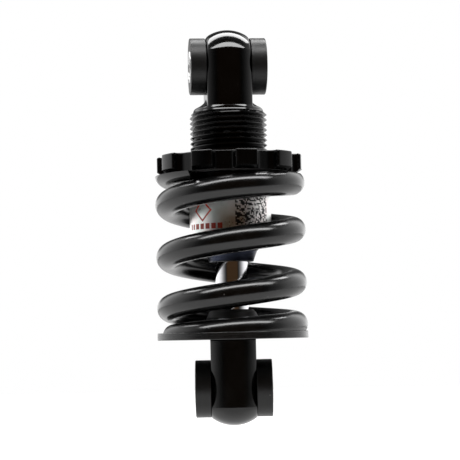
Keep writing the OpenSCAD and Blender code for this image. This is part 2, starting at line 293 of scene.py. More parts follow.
def mixColour(tree, factor, first, second):
    node = addNode(tree, "ShaderNodeMix", data_type="RGBA")
    for index, value in ((0, factor), (6, first), (7, second)):
        if isinstance(value, bpy.types.NodeSocket):
            tree.links.new(value, node.inputs[index])
        else:
            node.inputs[index].default_value = value
    return node.outputs[2]


def newGroup(name, inputs, outputs):
    tree = bpy.data.node_groups.new(name, "ShaderNodeTree")
    for label, value in inputs.items():
        tree.interface.new_socket(label, in_out="INPUT", socket_type="NodeSocketFloat").default_value = value
    for label in outputs:
        tree.interface.new_socket(label, in_out="OUTPUT", socket_type="NodeSocketFloat")
    return tree, tree.nodes.new("NodeGroupInput").outputs, tree.nodes.new("NodeGroupOutput").inputs


def makeGrainGroup():
    # fine unevenness of a paint, film, rubber or cast skin, with sizes in millimetres
    tree, given, out = newGroup("surfaceGrain", {"Size": 0.5, "Waviness": 4.0}, ["Height", "Tone"])
    place = addNode(tree, "ShaderNodeTexCoord").outputs["Object"]
    fine = noise(tree, place, over(tree, 1 / mm, given["Size"]), 3, 0.55)
    wide = noise(tree, place, over(tree, 1 / mm, given["Waviness"]), 1, 0.5)
    tree.links.new(plus(tree, fine, times(tree, wide, 1.5)), out["Height"])
    tone = plus(tree, times(tree, fine, 0.4), times(tree, wide, 0.6))
    tree.links.new(tone, out["Tone"])
    return tree


def makeLinesGroup():
    # the fine rings that a lathe leaves, running round a turned surface
    tree, given, out = newGroup("turnedRings", {"Pitch": 0.25, "Broken": 0.4}, ["Height", "Tone"])
    uv = addNode(tree, "ShaderNodeUVMap", uv_map="surface").outputs["UV"]
    parts = addNode(tree, "ShaderNodeSeparateXYZ", {0: uv}).outputs
    squeezed = addNode(tree, "ShaderNodeCombineXYZ", {
        "X": times(tree, parts["X"], 0.02), "Y": over(tree, parts["Y"], given["Pitch"])})
    rings = noise(tree, squeezed.outputs[0], 1.0, 2, 0.6)
    place = addNode(tree, "ShaderNodeTexCoord").outputs["Object"]
    patches = noise(tree, place, 0.4 / mm, 2, 0.5)
    kept = remap(tree, patches, 0.35, 0.65, minus(tree, 1.0, given["Broken"]), 1.0)
    tree.links.new(times(tree, minus(tree, rings, 0.5), kept), out["Height"])
    tree.links.new(rings, out["Tone"])
    return tree


def makeEdgeWearHighlightGroup():
    # a broken mask along sharp outer edges: the lighter edges it gives are part wear, part painted highlight
    tree, given, out = newGroup("edgeWearAndHighlight", {"Gain": 12.0, "Cover": 0.5}, ["Mask"])
    pointed = addNode(tree, "ShaderNodeNewGeometry").outputs["Pointiness"]
    edge = times(tree, minus(tree, pointed, 0.51), given["Gain"])
    place = addNode(tree, "ShaderNodeTexCoord").outputs["Object"]
    broken = remap(tree, noise(tree, place, 0.9 / mm, 4, 0.65), 0.4, 0.7)
    mask = addNode(tree, "ShaderNodeClamp", {"Value": times(tree, edge, broken)}).outputs[0]
    tree.links.new(times(tree, mask, given["Cover"]), out["Mask"])
    return tree


def makeSpecksGroup():
    # dust, lint and small nicks
    tree, given, out = newGroup("specks", {"Spacing": 2.0, "Cover": 0.15}, ["Mask"])
    place = addNode(tree, "ShaderNodeTexCoord").outputs["Object"]
    cells = addNode(tree, "ShaderNodeTexVoronoi", {
        "Vector": place, "Scale": over(tree, 1 / mm, given["Spacing"]), "Randomness": 1.0})
    dots = remap(tree, cells.outputs["Distance"], 0.02, 0.09, 1.0, 0.0)
    chosen = calc(tree, "GREATER_THAN", given["Cover"],
                  addNode(tree, "ShaderNodeSeparateColor", {0: cells.outputs["Color"]}).outputs[0])
    tree.links.new(times(tree, dots, chosen), out["Mask"])
    return tree


grainGroup = makeGrainGroup()
linesGroup = makeLinesGroup()
edgeWearHighlightGroup = makeEdgeWearHighlightGroup()
specksGroup = makeSpecksGroup()


def placeGroup(tree, group, **values):
    node = addNode(tree, "ShaderNodeGroup", node_tree=group)
    for label, value in values.items():
        node.inputs[label].default_value = value
    return node.outputs


def newMaterial(name, **sockets):
    material = bpy.data.materials.new(name)
    material.use_nodes = True
    tree = material.node_tree
    shader = tree.nodes["Principled BSDF"]
    for label, value in sockets.items():
        shader.inputs[label.replace("_", " ")].default_value = value
    return material, tree, shader


def bumpNormal(tree, height, depth, strength=1.0):
    inputs = {"Height": height, "Distance": depth * mm, "Strength": strength}
    return addNode(tree, "ShaderNodeBump", inputs).outputs["Normal"]


toneSpan = (0.35, 0.65)  # the part of a noise's range that counts as dark to light
dust = (0.5, 0.48, 0.45, 1)


def wornHighlitColour(tree, look, tone, spacing, depth):
    # dark to light by tone, with lighter edges (part wear, part painted highlight) and a few specks; returns the
    # specks too
    wearAndHighlight = placeGroup(tree, edgeWearHighlightGroup, Gain=look.get("edgeGain", 14.0), Cover=look.get("edgeCover", 0.3))
    specks = placeGroup(tree, specksGroup, Spacing=spacing, Cover=look.get("speckCover", 0.06))["Mask"]
    colour = mixColour(tree, remap(tree, tone, *toneSpan), look["dark"], look["light"])
    # lighter sharp edges: part wear, part painted highlight
    colour = mixColour(tree, wearAndHighlight["Mask"], colour, look["wornHighlitEdge"])
    return mixColour(tree, times(tree, specks, look.get("speckDepth", depth)), colour, dust), specks


def linkFinish(tree, shader, colour, rough, height, depth):
    tree.links.new(colour, shader.inputs["Base Color"])
    tree.links.new(rough, shader.inputs["Roughness"])
    tree.links.new(bumpNormal(tree, height, depth), shader.inputs["Normal"])


def grainyMaterial(name, look):
    # paint, plastic, rubber and cast skin: a tone that drifts, a grain, faint edge wear that is also a painted
    # edge highlight, and a few specks
    material, tree, shader = newMaterial(
        name, Metallic=look.get("metallic", 0.0), Specular_IOR_Level=look.get("specular", 0.5))
    grain = placeGroup(tree, grainGroup, Size=look["grain"], Waviness=look["waves"])
    colour, specks = wornHighlitColour(tree, look, grain["Tone"], 2.2, 0.25)
    rough = remap(tree, grain["Tone"], *toneSpan, look["smooth"], look["rough"])
    rough = plus(tree, rough, times(tree, specks, 0.3))
    linkFinish(tree, shader, colour, rough, grain["Height"], look["depth"])
    return material


def turnedMaterial(name, look):
    # machined metal, and plastic or anodising over machined rings
    material, tree, shader = newMaterial(
        name, Metallic=look.get("metallic", 1.0), Specular_IOR_Level=look.get("specular", 0.5))
    rings = placeGroup(tree, linesGroup, Pitch=look["pitch"], Broken=0.4)
    grain = placeGroup(tree, grainGroup, Size=0.3, Waviness=5.0)
    blend = plus(tree, times(tree, rings["Tone"], 0.6), times(tree, grain["Tone"], 0.4))
    # its colour has lighter edges, part wear and part painted highlight
    colour, specks = wornHighlitColour(tree, look, blend, 2.5, 0.2)
    rough = remap(tree, blend, *toneSpan, look["smooth"], look["rough"])
    height = plus(tree, rings["Height"], times(tree, grain["Height"], look.get("grainShare", 0.1)))
    linkFinish(tree, shader, colour, rough, height, look["depth"])
    return material


def grey(value, blue=1.0):
    return (value, value, value * blue, 1)


def addPiece(piece, body, slotName, material, *nodes):
    piece.data.materials.clear()
    piece.data.materials.append(material)
    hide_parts(*nodes)
    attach(piece, body)
    print("made", piece.name, len(piece.data.polygons), "faces")
    return piece


print("tools ready")

# Upper housing: a ball-ended bar with two flats, a cone shoulder, a cut thread and a bored barrel

housing = {
    "columns": 248, "barRadius": 10.6, "flatHalf": 7.0, "flatEdge": 0.5, "domeEdge": 2.0,
    "coneTop": -12.0, "coneRadius": 7.5, "coneDeg": 26, "shoulderRadius": 10.9, "shoulderRound": 1.3,
    "filletAtBar": 0.6, "filletAtFlat": 3.2,
    "threadStart": -16.3, "threadPitch": 1.5875, "threadTurns": 14, "threadRoot": 11.1, "threadCrest": 12.0,
    "crestShare": 0.44, "crestRound": 0.04, "relief": 0.15, "spigotRadius": 11.0, "spigotEdge": 0.4,
    "chamberRadius": 9.5, "chamberTop": -15.6, "boreRadius": 6.5, "creaseRound": 0.12, "meetDepth": 0.35,
    "domeRows": 44, "barRows": 16, "coneRows": 72, "barFoot": -8.5, "sharpDeg": 26,
    "threadShares": (0, 0.07, 0.2, 0.32, 0.43, 0.5, 0.57, 0.68, 0.8, 0.93),  # rows along one pitch
}
housingPaint = grainyMaterial("glossBlackPaint", {
    "dark": grey(0.0004), "light": grey(0.0010), "wornHighlitEdge": grey(0.02), "smooth": 0.07, "rough": 0.12,
    "grain": 0.6, "waves": 5.0, "depth": 0.002, "edgeCover": 0.12, "speckCover": 0.05, "speckDepth": 0.08})


def shoulderAt(z, p):
    slope = math.radians(p["coneDeg"])
    endRadius = p["shoulderRadius"] - p["shoulderRound"] * (1 - math.sin(slope))
    endZ = p["coneTop"] - (endRadius - p["coneRadius"]) * math.tan(slope)
    cone = p["coneRadius"] + (p["coneTop"] - z) / math.tan(slope)
    lift = np.clip(math.cos(slope) + (z - endZ) / p["shoulderRound"], 0, 1)
    rounded = p["shoulderRadius"] - p["shoulderRound"] * (1 - np.sqrt(1 - lift ** 2))
    return np.where(z > endZ, np.maximum(cone, 0.1), rounded)


def makeHousing(p):
    angles, flat = flatSides(p)
    ballRadius, bottom = heightsOf("upper_housing")
    creaseDeg = math.degrees(math.acos(p["barRadius"] / ballRadius))

    def softnessAt(z):
        # the flats' edges are softest on top of the ball
        share = np.clip(z / ballRadius, 0, 1)
        return (p["flatEdge"] + (p["domeEdge"] - p["flatEdge"]) * share)[:, None]

    domeSteps = np.radians(np.linspace(90, creaseDeg - 1.2, p["domeRows"]))
    ball = ballRadius * np.cos(domeSteps)
    domeRadius = smoothMin(ball, np.full_like(ball, p["barRadius"]), p["creaseRound"])
    domeZ = ballRadius * np.sin(domeSteps)
    domeWidth = smoothMin(domeRadius[:, None], flat[None, :], softnessAt(domeZ))
    domeWidth = np.clip(np.minimum(domeWidth, domeRadius[:, None]), 0, None)
    domeWidth[0] = 0

    threadTop = p["threadStart"] + p["threadPitch"]
    neckZ = np.concatenate([np.linspace(domeZ[-1], p["barFoot"], p["barRows"])[1:],
                            np.linspace(p["barFoot"], threadTop, p["coneRows"])[1:]])
    bar = smoothMin(np.full((len(neckZ), len(flat)), p["barRadius"]), flat[None, :], softnessAt(neckZ))
    flatness = (p["barRadius"] - bar) / (p["barRadius"] - p["flatHalf"])
    fillet = p["filletAtBar"] + (p["filletAtFlat"] - p["filletAtBar"]) * flatness
    neckWidth = smoothMax(bar, shoulderAt(neckZ, p)[:, None], fillet)
    # the last rows meet the thread's root
    toThread = np.clip((neckZ - threadTop) / p["meetDepth"], 0, 1)[:, None]
    neckWidth = p["threadRoot"] + (neckWidth - p["threadRoot"]) * toThread
    body = sheetRound(np.concatenate([domeWidth, neckWidth]), np.concatenate([domeZ, neckZ]), angles)

    shares = np.array(p["threadShares"])
    rise = np.minimum((0.5 - np.abs(shares - 0.5)) / p["crestShare"], 1)
    rise = smoothMin(rise, np.ones_like(rise), p["crestRound"])
    form = p["threadRoot"] + (p["threadCrest"] - p["threadRoot"]) * np.clip(rise, 0, 1)
    turn = angles / (2 * math.pi)
    rowShares = np.append(shares, 1.0)
    rowForm = np.append(form, form[0])
    pitch = p["threadPitch"]
    start = p["threadStart"] + pitch * turn  # where the thread begins in each column
    firstZ = start[None, :] + (1 - rowShares[:, None]) * pitch * (1 - turn)[None, :]
    firstWidth = p["threadRoot"] + (rowForm[:, None] - p["threadRoot"]) * (1 - turn)[None, :]
    rows = np.append(np.add.outer(np.arange(p["threadTurns"]), shares).ravel(), p["threadTurns"])
    mainZ = start[None, :] - pitch * rows[:, None]
    mainWidth = np.append(np.tile(form, p["threadTurns"]), form[0])[:, None] * np.ones_like(turn)[None, :]
    lastZ = mainZ[-1][None, :] - rowShares[:, None] * pitch * turn[None, :]
    lastWidth = p["threadRoot"] + (rowForm[:, None] - p["threadRoot"]) * turn[None, :]

    endZ = p["threadStart"] - p["threadTurns"] * pitch
    spigot, edge = p["spigotRadius"], p["spigotEdge"]
    barrel = np.array([
        (p["threadRoot"], endZ), (p["threadRoot"], endZ - p["relief"]), (spigot, endZ - p["relief"] - 0.1),
        (spigot, bottom + edge), (spigot - edge, bottom), (p["chamberRadius"], bottom),
        (p["chamberRadius"], p["chamberTop"]), (0, p["chamberTop"])])
    sheets = [body, sheetRound(firstWidth, firstZ, angles), sheetRound(mainWidth, mainZ, angles),
              sheetRound(lastWidth, lastZ, angles), sheetRound(barrel[:, 0], barrel[:, 1], angles)]
    piece = pieceFromSheets("upperHousing", sheets, upperPlace, angles, p["sharpDeg"])
    boreEye(piece, upperPlace, p, p["sharpDeg"])
    return piece


addPiece(makeHousing(housing), "housing", "black_paint", housingPaint, "upper_housing")

# Bushes and the steel sleeves they turn on

eyes = {
    "boreGap": 0.2, "spigotRadius": 6.5, "flangeFrom": 7.0, "flangeRadius": 8.8, "flangeTo": 11.8,
    "spigotEdge": 0.15, "backEdge": 0.2, "flangeEdge": 0.3, "holeEdge": 0.25,
    "holeRadius": 5.04, "sleeveRadius": 5.0, "boltRadius": 4.1, "sleeveHalf": 12.0, "sleeveEdge": 0.3,
}
bushPlastic = turnedMaterial("turnedBlackPlastic", {
    "metallic": 0.0, "dark": grey(0.002), "light": grey(0.005), "wornHighlitEdge": grey(0.03), "specular": 0.35,
    "smooth": 0.34, "rough": 0.46, "pitch": 0.16, "depth": 0.008, "grainShare": 0.25, "edgeCover": 0.2,
    "speckCover": 0.1})
sleeveSteel = turnedMaterial("turnedSteel", {
    "dark": grey(0.52), "light": grey(0.72), "wornHighlitEdge": grey(0.85), "smooth": 0.2, "rough": 0.34,
    "pitch": 0.12, "depth": 0.004})


def makeBush(name, place, side, p):
    turnOut = Matrix.Rotation(math.radians(90 * side), 4, "Y")
    corners = [
        (p["holeRadius"], p["boreGap"]), (p["spigotRadius"], p["boreGap"], p["spigotEdge"]),
        (p["spigotRadius"], p["flangeFrom"]), (p["flangeRadius"], p["flangeFrom"], p["backEdge"]),
        (p["flangeRadius"], p["flangeTo"], p["flangeEdge"]), (p["holeRadius"], p["flangeTo"], p["holeEdge"])]
    return turnedPiece(name, corners, place @ turnOut, 160)


def makeSleeve(name, place, p):
    bolt, outer, half = p["boltRadius"], p["sleeveRadius"], p["sleeveHalf"]
    corners = [(bolt, -half, p["holeEdge"]), (outer, -half, p["sleeveEdge"]),
               (outer, half, p["sleeveEdge"]), (bolt, half, p["holeEdge"])]
    return turnedPiece(name, corners, place @ acrossEye, 128)


for level, place, body, sleeveBody in (("upper", upperPlace, "housing", "upper_sleeve"),
                                       ("lower", lowerPlace, "rod", "lower_sleeve")):
    for side, word in ((-1, "Left"), (1, "Right")):
        bush = makeBush(level + "Bush" + word, place, side, eyes)
        addPiece(bush, body, "bush_plastic", bushPlastic, level + "_bush_" + word.lower())
    sleeve = makeSleeve(level + "Sleeve", place, eyes)
    addPiece(sleeve, sleeveBody, "sleeve_steel", sleeveSteel, level + "_sleeve")

# Preload collar with its spanner notches, and the washer under it

collar = {
    "notches": 10, "firstNotchDeg": 9, "notchHalf": 3.4, "notchFoot": 19.7, "notchRound": 2.0,
    "mouthRound": 0.62, "rimRadius": 22.5, "height": 5.7, "boreRadius": 12.04, "topEdge": 0.45,
    "chamferRadius": 20.8, "chamferHeight": 1.0,
    "recessRadius": 19.32, "recessDepth": 0.52, "pilotRadius": 15.15, "pilotEdge": 0.5, "boreEdge": 0.3,
}
collarBlack = grainyMaterial("glossBlackAnodise", {
    "dark": grey(0.0004), "light": grey(0.0010), "wornHighlitEdge": grey(0.05), "smooth": 0.09, "rough": 0.15,
    "specular": 0.22, "grain": 0.25, "waves": 6.0, "depth": 0.003, "edgeCover": 0.22, "speckCover": 0.1})


def collarOutline(p):
    # the rim seen from above: points all round, and the outward normal at each
    half, foot, inner = p["notchHalf"], p["notchFoot"], p["notchRound"]
    mouth, rim = p["mouthRound"], p["rimRadius"]
    mouthMiddleY = half + mouth
    mouthMiddleX = math.sqrt((rim - mouth) ** 2 - mouthMiddleY ** 2)
    mouthDeg = math.degrees(math.atan2(mouthMiddleY, mouthMiddleX))
    local = []
    for y in np.linspace(0, half - inner, 3):
        local.append((foot, y, -1, 0))
    for a in np.linspace(0, 90, 7)[1:]:
        s, c = math.sin(math.radians(a)), math.cos(math.radians(a))
        local.append((foot + inner - inner * c, half - inner + inner * s, -c, s))
    for x in np.linspace(foot + inner, mouthMiddleX, 3)[1:]:
        local.append((x, half, 0, 1))
    for a in np.linspace(-90, mouthDeg, 7)[1:]:
        s, c = math.sin(math.radians(a)), math.cos(math.radians(a))
        local.append((mouthMiddleX + mouth * c, mouthMiddleY + mouth * s, c, s))
    lastDeg = 180 / p["notches"]
    for a in np.linspace(mouthDeg, lastDeg, 7)[1:]:
        s, c = math.sin(math.radians(a)), math.cos(math.radians(a))
        local.append((rim * c, rim * s, c, s))
    local = np.array(local)
    inNotch = (local[:, :1] < mouthMiddleX + 0.001) & (local[:, 1:2] < half + 0.001)
    local[:, 2:] *= np.where(inNotch, -1, 1)
    mirrored = local[::-1] * np.array([1, -1, 1, -1])
    period = np.concatenate([mirrored[1:-1], local])
    points, normals = [], []
    for n in range(p["notches"]):
        a = math.radians(p["firstNotchDeg"] + n * 360 / p["notches"])
        turn = np.array([[math.cos(a), math.sin(a)], [-math.sin(a), math.cos(a)]])
        points.append(period[:, :2] @ turn)
        normals.append(period[:, 2:] @ turn)
    points, normals = np.concatenate(points), np.concatenate(normals)
    return np.vstack([points, points[:1]]), np.vstack([normals, normals[:1]])


def makeCollar(p):
    top, bottom = heightsOf("preload_collar")
    low = top - p["height"]
    points, normals = collarOutline(p)
    angles = np.unwrap(np.arctan2(points[:, 1], points[:, 0]))
    forward = np.maximum.accumulate(angles)  # a limited rim never turns back on itself
    around = np.stack([np.cos(forward), np.sin(forward)], -1)

    def rim(inset, z, limit=None):
        moved = points - normals * inset
        if limit:
            size = np.linalg.norm(moved, axis=1)
            moved = np.where((size > limit)[:, None], around * limit, moved)
        return np.column_stack([moved, np.full(len(points), z)])

    edge = p["topEdge"]
    rows = [rim(edge + 0.12, top)]
    for a in np.radians(np.linspace(90, 0, 6)):
        rows.append(rim(edge * (1 - math.cos(a)), top - edge * (1 - math.sin(a))))
    rows.append(rim(0, top - edge - 0.1))
    rows.append(rim(0, low + p["chamferHeight"] + 0.12))
    for s in (0, 0.04, 0.5, 0.96, 1):
        limit = p["rimRadius"] + (p["chamferRadius"] - p["rimRadius"]) * s
        rows.append(rim(0, low + p["chamferHeight"] * (1 - s), limit))
    rows.append(rim(0, low, p["chamferRadius"] - 0.1))
    recess, pilot, hole = p["recessRadius"], p["pilotRadius"], p["boreRadius"]
    inner = np.array([
        (recess, low), (recess, low + p["recessDepth"]), (pilot, low + p["recessDepth"]),
        (pilot, bottom + p["pilotEdge"]), (pilot - p["pilotEdge"], bottom), (hole, bottom),
        (hole, top - p["boreEdge"]), (hole + p["boreEdge"], top)])
    bore = sheetRound(inner[:, 0], inner[:, 1], np.linspace(0, 2 * math.pi, len(angles)))
    piece = pieceFromSheets("preloadCollar", [np.stack(rows), bore], upright, angles, 40)
    fillFlats(piece, (top, low), 40)
    return piece


addPiece(makeCollar(collar), "collar", "black_anodise", collarBlack, "preload_collar")

washer = {"outerRadius": 19.3, "innerRadius": 15.17, "edge": 0.15}
washerPlastic = turnedMaterial("washerPlastic", {
    "metallic": 0.0, "dark": grey(0.02), "light": grey(0.035), "wornHighlitEdge": grey(0.1), "smooth": 0.4, "rough": 0.6,
    "pitch": 0.3, "depth": 0.01})
washerTop, washerBottom = heightsOf("seat_washer")
washerCorners = [
    (washer["innerRadius"], washerTop, washer["edge"]), (washer["outerRadius"], washerTop, washer["edge"]),
    (washer["outerRadius"], washerBottom, washer["edge"]), (washer["innerRadius"], washerBottom, washer["edge"])]
addPiece(turnedPiece("seatWasher", washerCorners, upright),
         "spring_seat", "washer_plastic", washerPlastic, "seat_washer")

# Coil spring: a wire that follows the winding rule, ground flat at both seats

spring = {
    "First turn": -0.16, "Last turn": 3.935, "Turns": 4.0, "Start angle": 175.0,
    "Coil radius": 19.35, "Wire radius": 3.9, "Rise at top": 0.6, "Sink at bottom": 1.7,
    "Top pitch": 4.5, "Bottom pitch": 7.8, "Top ramp": 1.15, "Bottom ramp": 1.1, "Closes from": 2.55,
    "Rings": 330, "Sides": 44,
}
spring["Top seat"], spring["Bottom seat"] = heightsOf("coil_spring")
springPaint = grainyMaterial("semiGlossSpringPaint", {
    "dark": grey(0.0008), "light": grey(0.0018), "wornHighlitEdge": grey(0.02), "smooth": 0.17, "rough": 0.23,
    "grain": 0.35, "waves": 3.5, "depth": 0.0012, "edgeCover": 0.35, "edgeGain": 6.0, "speckCover": 0.08})


def rampGroup():
    # how far a pitch that opens over one unit has carried the wire
    tree = bpy.data.node_groups.new("pitchRamp", "GeometryNodeTree")
    tree.interface.new_socket("Place", in_out="INPUT", socket_type="NodeSocketFloat")
    tree.interface.new_socket("Carried", in_out="OUTPUT", socket_type="NodeSocketFloat")
    place = tree.nodes.new("NodeGroupInput").outputs[0]
    inside = addNode(tree, "ShaderNodeClamp", {"Value": place}).outputs[0]
    cube = calc(tree, "POWER", inside, 3.0)
    fourth = times(tree, times(tree, cube, inside), 0.5)
    beyond = calc(tree, "MAXIMUM", minus(tree, place, 1.0), 0.0)
    total = plus(tree, minus(tree, cube, fourth), beyond)
    tree.links.new(total, tree.nodes.new("NodeGroupOutput").inputs[0])
    return tree


def springTree(names, material):
    tree = bpy.data.node_groups.new("springWinding", "GeometryNodeTree")
    for name in names:
        kind = "NodeSocketInt" if name in ("Rings", "Sides") else "NodeSocketFloat"
        tree.interface.new_socket(name, in_out="INPUT", socket_type=kind)
    tree.interface.new_socket("Geometry", in_out="OUTPUT", socket_type="NodeSocketGeometry")
    given = tree.nodes.new("NodeGroupInput").outputs
    ramp = rampGroup()

    def carried(place):
        return addNode(tree, "GeometryNodeGroup", {0: place}, node_tree=ramp).outputs[0]

    fullTopRamp = times(tree, given["Top ramp"], 0.5)
    fullBottomRamp = times(tree, given["Bottom ramp"], 0.5)
    drop = plus(tree, minus(tree, given["Top seat"], given["Bottom seat"]),
                plus(tree, given["Rise at top"], given["Sink at bottom"]))
    closed = minus(tree, minus(tree, given["Turns"], given["Closes from"]), fullBottomRamp)
    drop = minus(tree, drop, times(tree, given["Top pitch"], fullTopRamp))
    drop = minus(tree, drop, times(tree, given["Bottom pitch"], closed))
    opened = minus(tree, plus(tree, given["Closes from"], fullBottomRamp), fullTopRamp)
    pitch = over(tree, drop, opened)  # the open pitch that makes the ends meet the seats

    line = addNode(tree, "GeometryNodeMeshLine", {"Count": given["Rings"]})
    share = over(tree, addNode(tree, "GeometryNodeInputIndex").outputs[0],
                 minus(tree, given["Rings"], 1.0))
    turn = calc(tree, "MULTIPLY_ADD", share, minus(tree, given["Last turn"], given["First turn"]),
                given["First turn"])
    angle = calc(tree, "RADIANS", minus(tree, given["Start angle"], times(tree, turn, 360.0)))
    height = plus(tree, given["Top seat"], given["Rise at top"])
    height = minus(tree, height, times(tree, given["Top pitch"], turn))
    opening = times(tree, carried(over(tree, turn, given["Top ramp"])), given["Top ramp"])
    closing = over(tree, minus(tree, turn, given["Closes from"]), given["Bottom ramp"])
    closing = times(tree, carried(closing), given["Bottom ramp"])
    height = minus(tree, height,
                  times(tree, minus(tree, pitch, given["Top pitch"]), opening))
    height = plus(tree, height,
                  times(tree, minus(tree, pitch, given["Bottom pitch"]), closing))
    place = addNode(tree, "ShaderNodeCombineXYZ", {
        "X": times(tree, given["Coil radius"], calc(tree, "COSINE", angle)),
        "Y": times(tree, given["Coil radius"], calc(tree, "SINE", angle)), "Z": height})
    small = addNode(tree, "ShaderNodeVectorMath", {0: place.outputs[0], "Scale": mm}, operation="SCALE")
    wound = addNode(tree, "GeometryNodeSetPosition", {"Geometry": line.outputs[0], "Position": small.outputs[0]})
    centre = addNode(tree, "GeometryNodeMeshToCurve", {"Mesh": wound.outputs[0]})
    section = addNode(tree, "GeometryNodeCurvePrimitiveCircle", {
        "Resolution": given["Sides"], "Radius": times(tree, given["Wire radius"], mm)})
    wire = addNode(tree, "GeometryNodeCurveToMesh", {
        "Curve": centre.outputs[0], "Profile Curve": section.outputs[0], "Fill Caps": True})
    between = times(tree, minus(tree, given["Top seat"], given["Bottom seat"]), mm)
    middle = times(tree, plus(tree, given["Top seat"], given["Bottom seat"]), mm / 2)
    wide = 80 * mm  # wider than any coil
    size = addNode(tree, "ShaderNodeCombineXYZ", {"X": wide, "Y": wide, "Z": between}).outputs[0]
    slab = addNode(tree, "GeometryNodeMeshCube", {"Size": size})
    offset = addNode(tree, "ShaderNodeCombineXYZ", {"Z": middle}).outputs[0]
    slab = addNode(tree, "GeometryNodeTransform", {"Geometry": slab.outputs[0], "Translation": offset})
    ground = addNode(tree, "GeometryNodeMeshBoolean", {"Mesh 2": wire.outputs[0]},
                     operation="INTERSECT", solver="EXACT")
    tree.links.new(slab.outputs[0], ground.inputs["Mesh 2"])
    real = addNode(tree, "GeometryNodeRealizeInstances", {"Geometry": ground.outputs[0]})
    painted = addNode(tree, "GeometryNodeSetMaterial", {"Geometry": real.outputs[0], "Material": material})
    tree.links.new(painted.outputs[0], tree.nodes.new("NodeGroupOutput").inputs[0])
    return tree


def makeSpring(p):
    piece = bpy.data.objects.new("coilSpring", bpy.data.meshes.new("coilSpring"))
    collection.objects.link(piece)
    winding = piece.modifiers.new("winding", "NODES")
    winding.node_group = springTree(list(p), springPaint)
    for socket in winding.node_group.interface.items_tree:
        if socket.in_out == "INPUT":
            winding[socket.identifier] = p[socket.name]
    makePlain(piece)
    shadeSmooth(piece.data, 30)
    return piece


springPiece = makeSpring(spring)
addPiece(springPiece, "spring_seat", "spring_paint", springPaint, "coil_spring")
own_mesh(springPiece)

# Damper: tube, label, gland, wiper and rod

damper = {
    "tubeRadius": 12.5, "boreRadius": 9.5, "screwRadius": 11.0, "screwDepth": 5.0, "glandRadius": 10.5,
    "glandDepth": 5.0, "tubeEdge": 0.35, "rodRadius": 5.0, "studRadius": 3.0, "studLength": 11.5,
    "rodEdge": 0.4, "shoulderEdge": 0.2,
}
tubeMetal = turnedMaterial("satinTube", {
    "dark": grey(0.60), "light": grey(0.74), "wornHighlitEdge": grey(0.85), "smooth": 0.2, "rough": 0.3,
    "pitch": 0.3, "depth": 0.003})
glandMetal = turnedMaterial("turnedGland", {
    "dark": (0.016, 0.019, 0.034, 1), "light": (0.05, 0.056, 0.08, 1), "wornHighlitEdge": grey(0.2),
    "smooth": 0.22, "rough": 0.34, "pitch": 0.22, "depth": 0.01})
rodChrome = turnedMaterial("polishedChrome", {
    "dark": grey(0.70, 1.03), "light": grey(0.80, 1.03), "wornHighlitEdge": grey(0.9), "smooth": 0.05, "rough": 0.10,
    "pitch": 0.1, "depth": 0.0006, "edgeCover": 0.0})
wiperRubber = grainyMaterial("wiperRubber", {
    "dark": grey(0.012), "light": grey(0.02), "wornHighlitEdge": grey(0.04), "smooth": 0.5, "rough": 0.65,
    "grain": 0.2, "waves": 2.0, "depth": 0.01})

tubeTop, tubeBottom = heightsOf("damper_tube")
screwEnd, glandSeat = tubeTop - damper["screwDepth"], tubeBottom + damper["glandDepth"]
tubeCorners = [
    (damper["screwRadius"], tubeTop), (damper["tubeRadius"], tubeTop, damper["tubeEdge"]),
    (damper["tubeRadius"], tubeBottom, damper["tubeEdge"]), (damper["glandRadius"], tubeBottom),
    (damper["glandRadius"], glandSeat), (damper["boreRadius"], glandSeat),
    (damper["boreRadius"], screwEnd), (damper["screwRadius"], screwEnd)]
addPiece(turnedPiece("damperTube", tubeCorners, upright), "housing", "tube_metal", tubeMetal, "damper_tube")

gland = {
    "bore": 5.3, "noseTip": 6.85, "noseMiddle": 8.05, "noseMiddleUp": 3.2, "noseRim": 10.2, "noseRimUp": 5.4,
    "noseEdge": 0.2, "noseRound": 0.8, "grooveMiddle": 2.3, "grooveHalf": 0.87, "grooveFloor": 8.75,
    "sealRadius": 7.6, "sealDepth": 7.0, "wiperRadius": 6.1, "wiperDepth": 2.0,
}


def makeGland(p, screw):
    top, bottom = heightsOf("gland_nut")
    grooveTop = top - p["grooveMiddle"] + p["grooveHalf"]
    grooveLow = top - p["grooveMiddle"] - p["grooveHalf"]
    sealFloor, wiperFloor = top - p["sealDepth"], bottom + p["wiperDepth"]
    corners = [
        (p["wiperRadius"], bottom), (p["noseTip"], bottom, p["noseEdge"]),
        (p["noseMiddle"], bottom + p["noseMiddleUp"], p["noseRound"]),
        (p["noseRim"], bottom + p["noseRimUp"], p["noseEdge"]), (p["noseRim"], tubeBottom), (screw, tubeBottom),
        (screw, grooveLow), (p["grooveFloor"], grooveLow), (p["grooveFloor"], grooveTop), (screw, grooveTop),
        (screw, top), (p["sealRadius"], top), (p["sealRadius"], sealFloor), (p["bore"], sealFloor),
        (p["bore"], wiperFloor), (p["wiperRadius"], wiperFloor)]
    return turnedPiece("glandNut", corners, upright)


addPiece(makeGland(gland, damper["glandRadius"]), "housing", "gland_metal", glandMetal, "gland_nut")

wiper = {"lip": 5.02, "lipEnd": 5.5, "radius": 6.1, "bevel": 0.5, "edge": 0.12}
wiperTop, wiperBottom = heightsOf("wiper_seal")
wiperCorners = [
    (wiper["lip"], wiperBottom), (wiper["lipEnd"], wiperBottom, wiper["edge"]),
    (wiper["radius"], wiperBottom + wiper["bevel"], wiper["edge"]), (wiper["radius"], wiperTop),
    (wiper["lip"], wiperTop)]
addPiece(turnedPiece("wiperSeal", wiperCorners, upright, 96), "housing", "seal_rubber", wiperRubber, "wiper_seal")

rodTop, rodBottom = heightsOf("piston_rod")
shoulder = rodTop - damper["studLength"]
rodCorners = [
    (0, rodTop), (damper["studRadius"], rodTop, damper["rodEdge"]), (damper["studRadius"], shoulder),
    (damper["rodRadius"], shoulder, damper["shoulderEdge"]), (damper["rodRadius"], rodBottom, damper["rodEdge"]),
    (0, rodBottom)]
addPiece(turnedPiece("pistonRod", rodCorners, upright), "rod", "rod_chrome", rodChrome, "piston_rod")

# Label round the tube: a silver film with generic marks

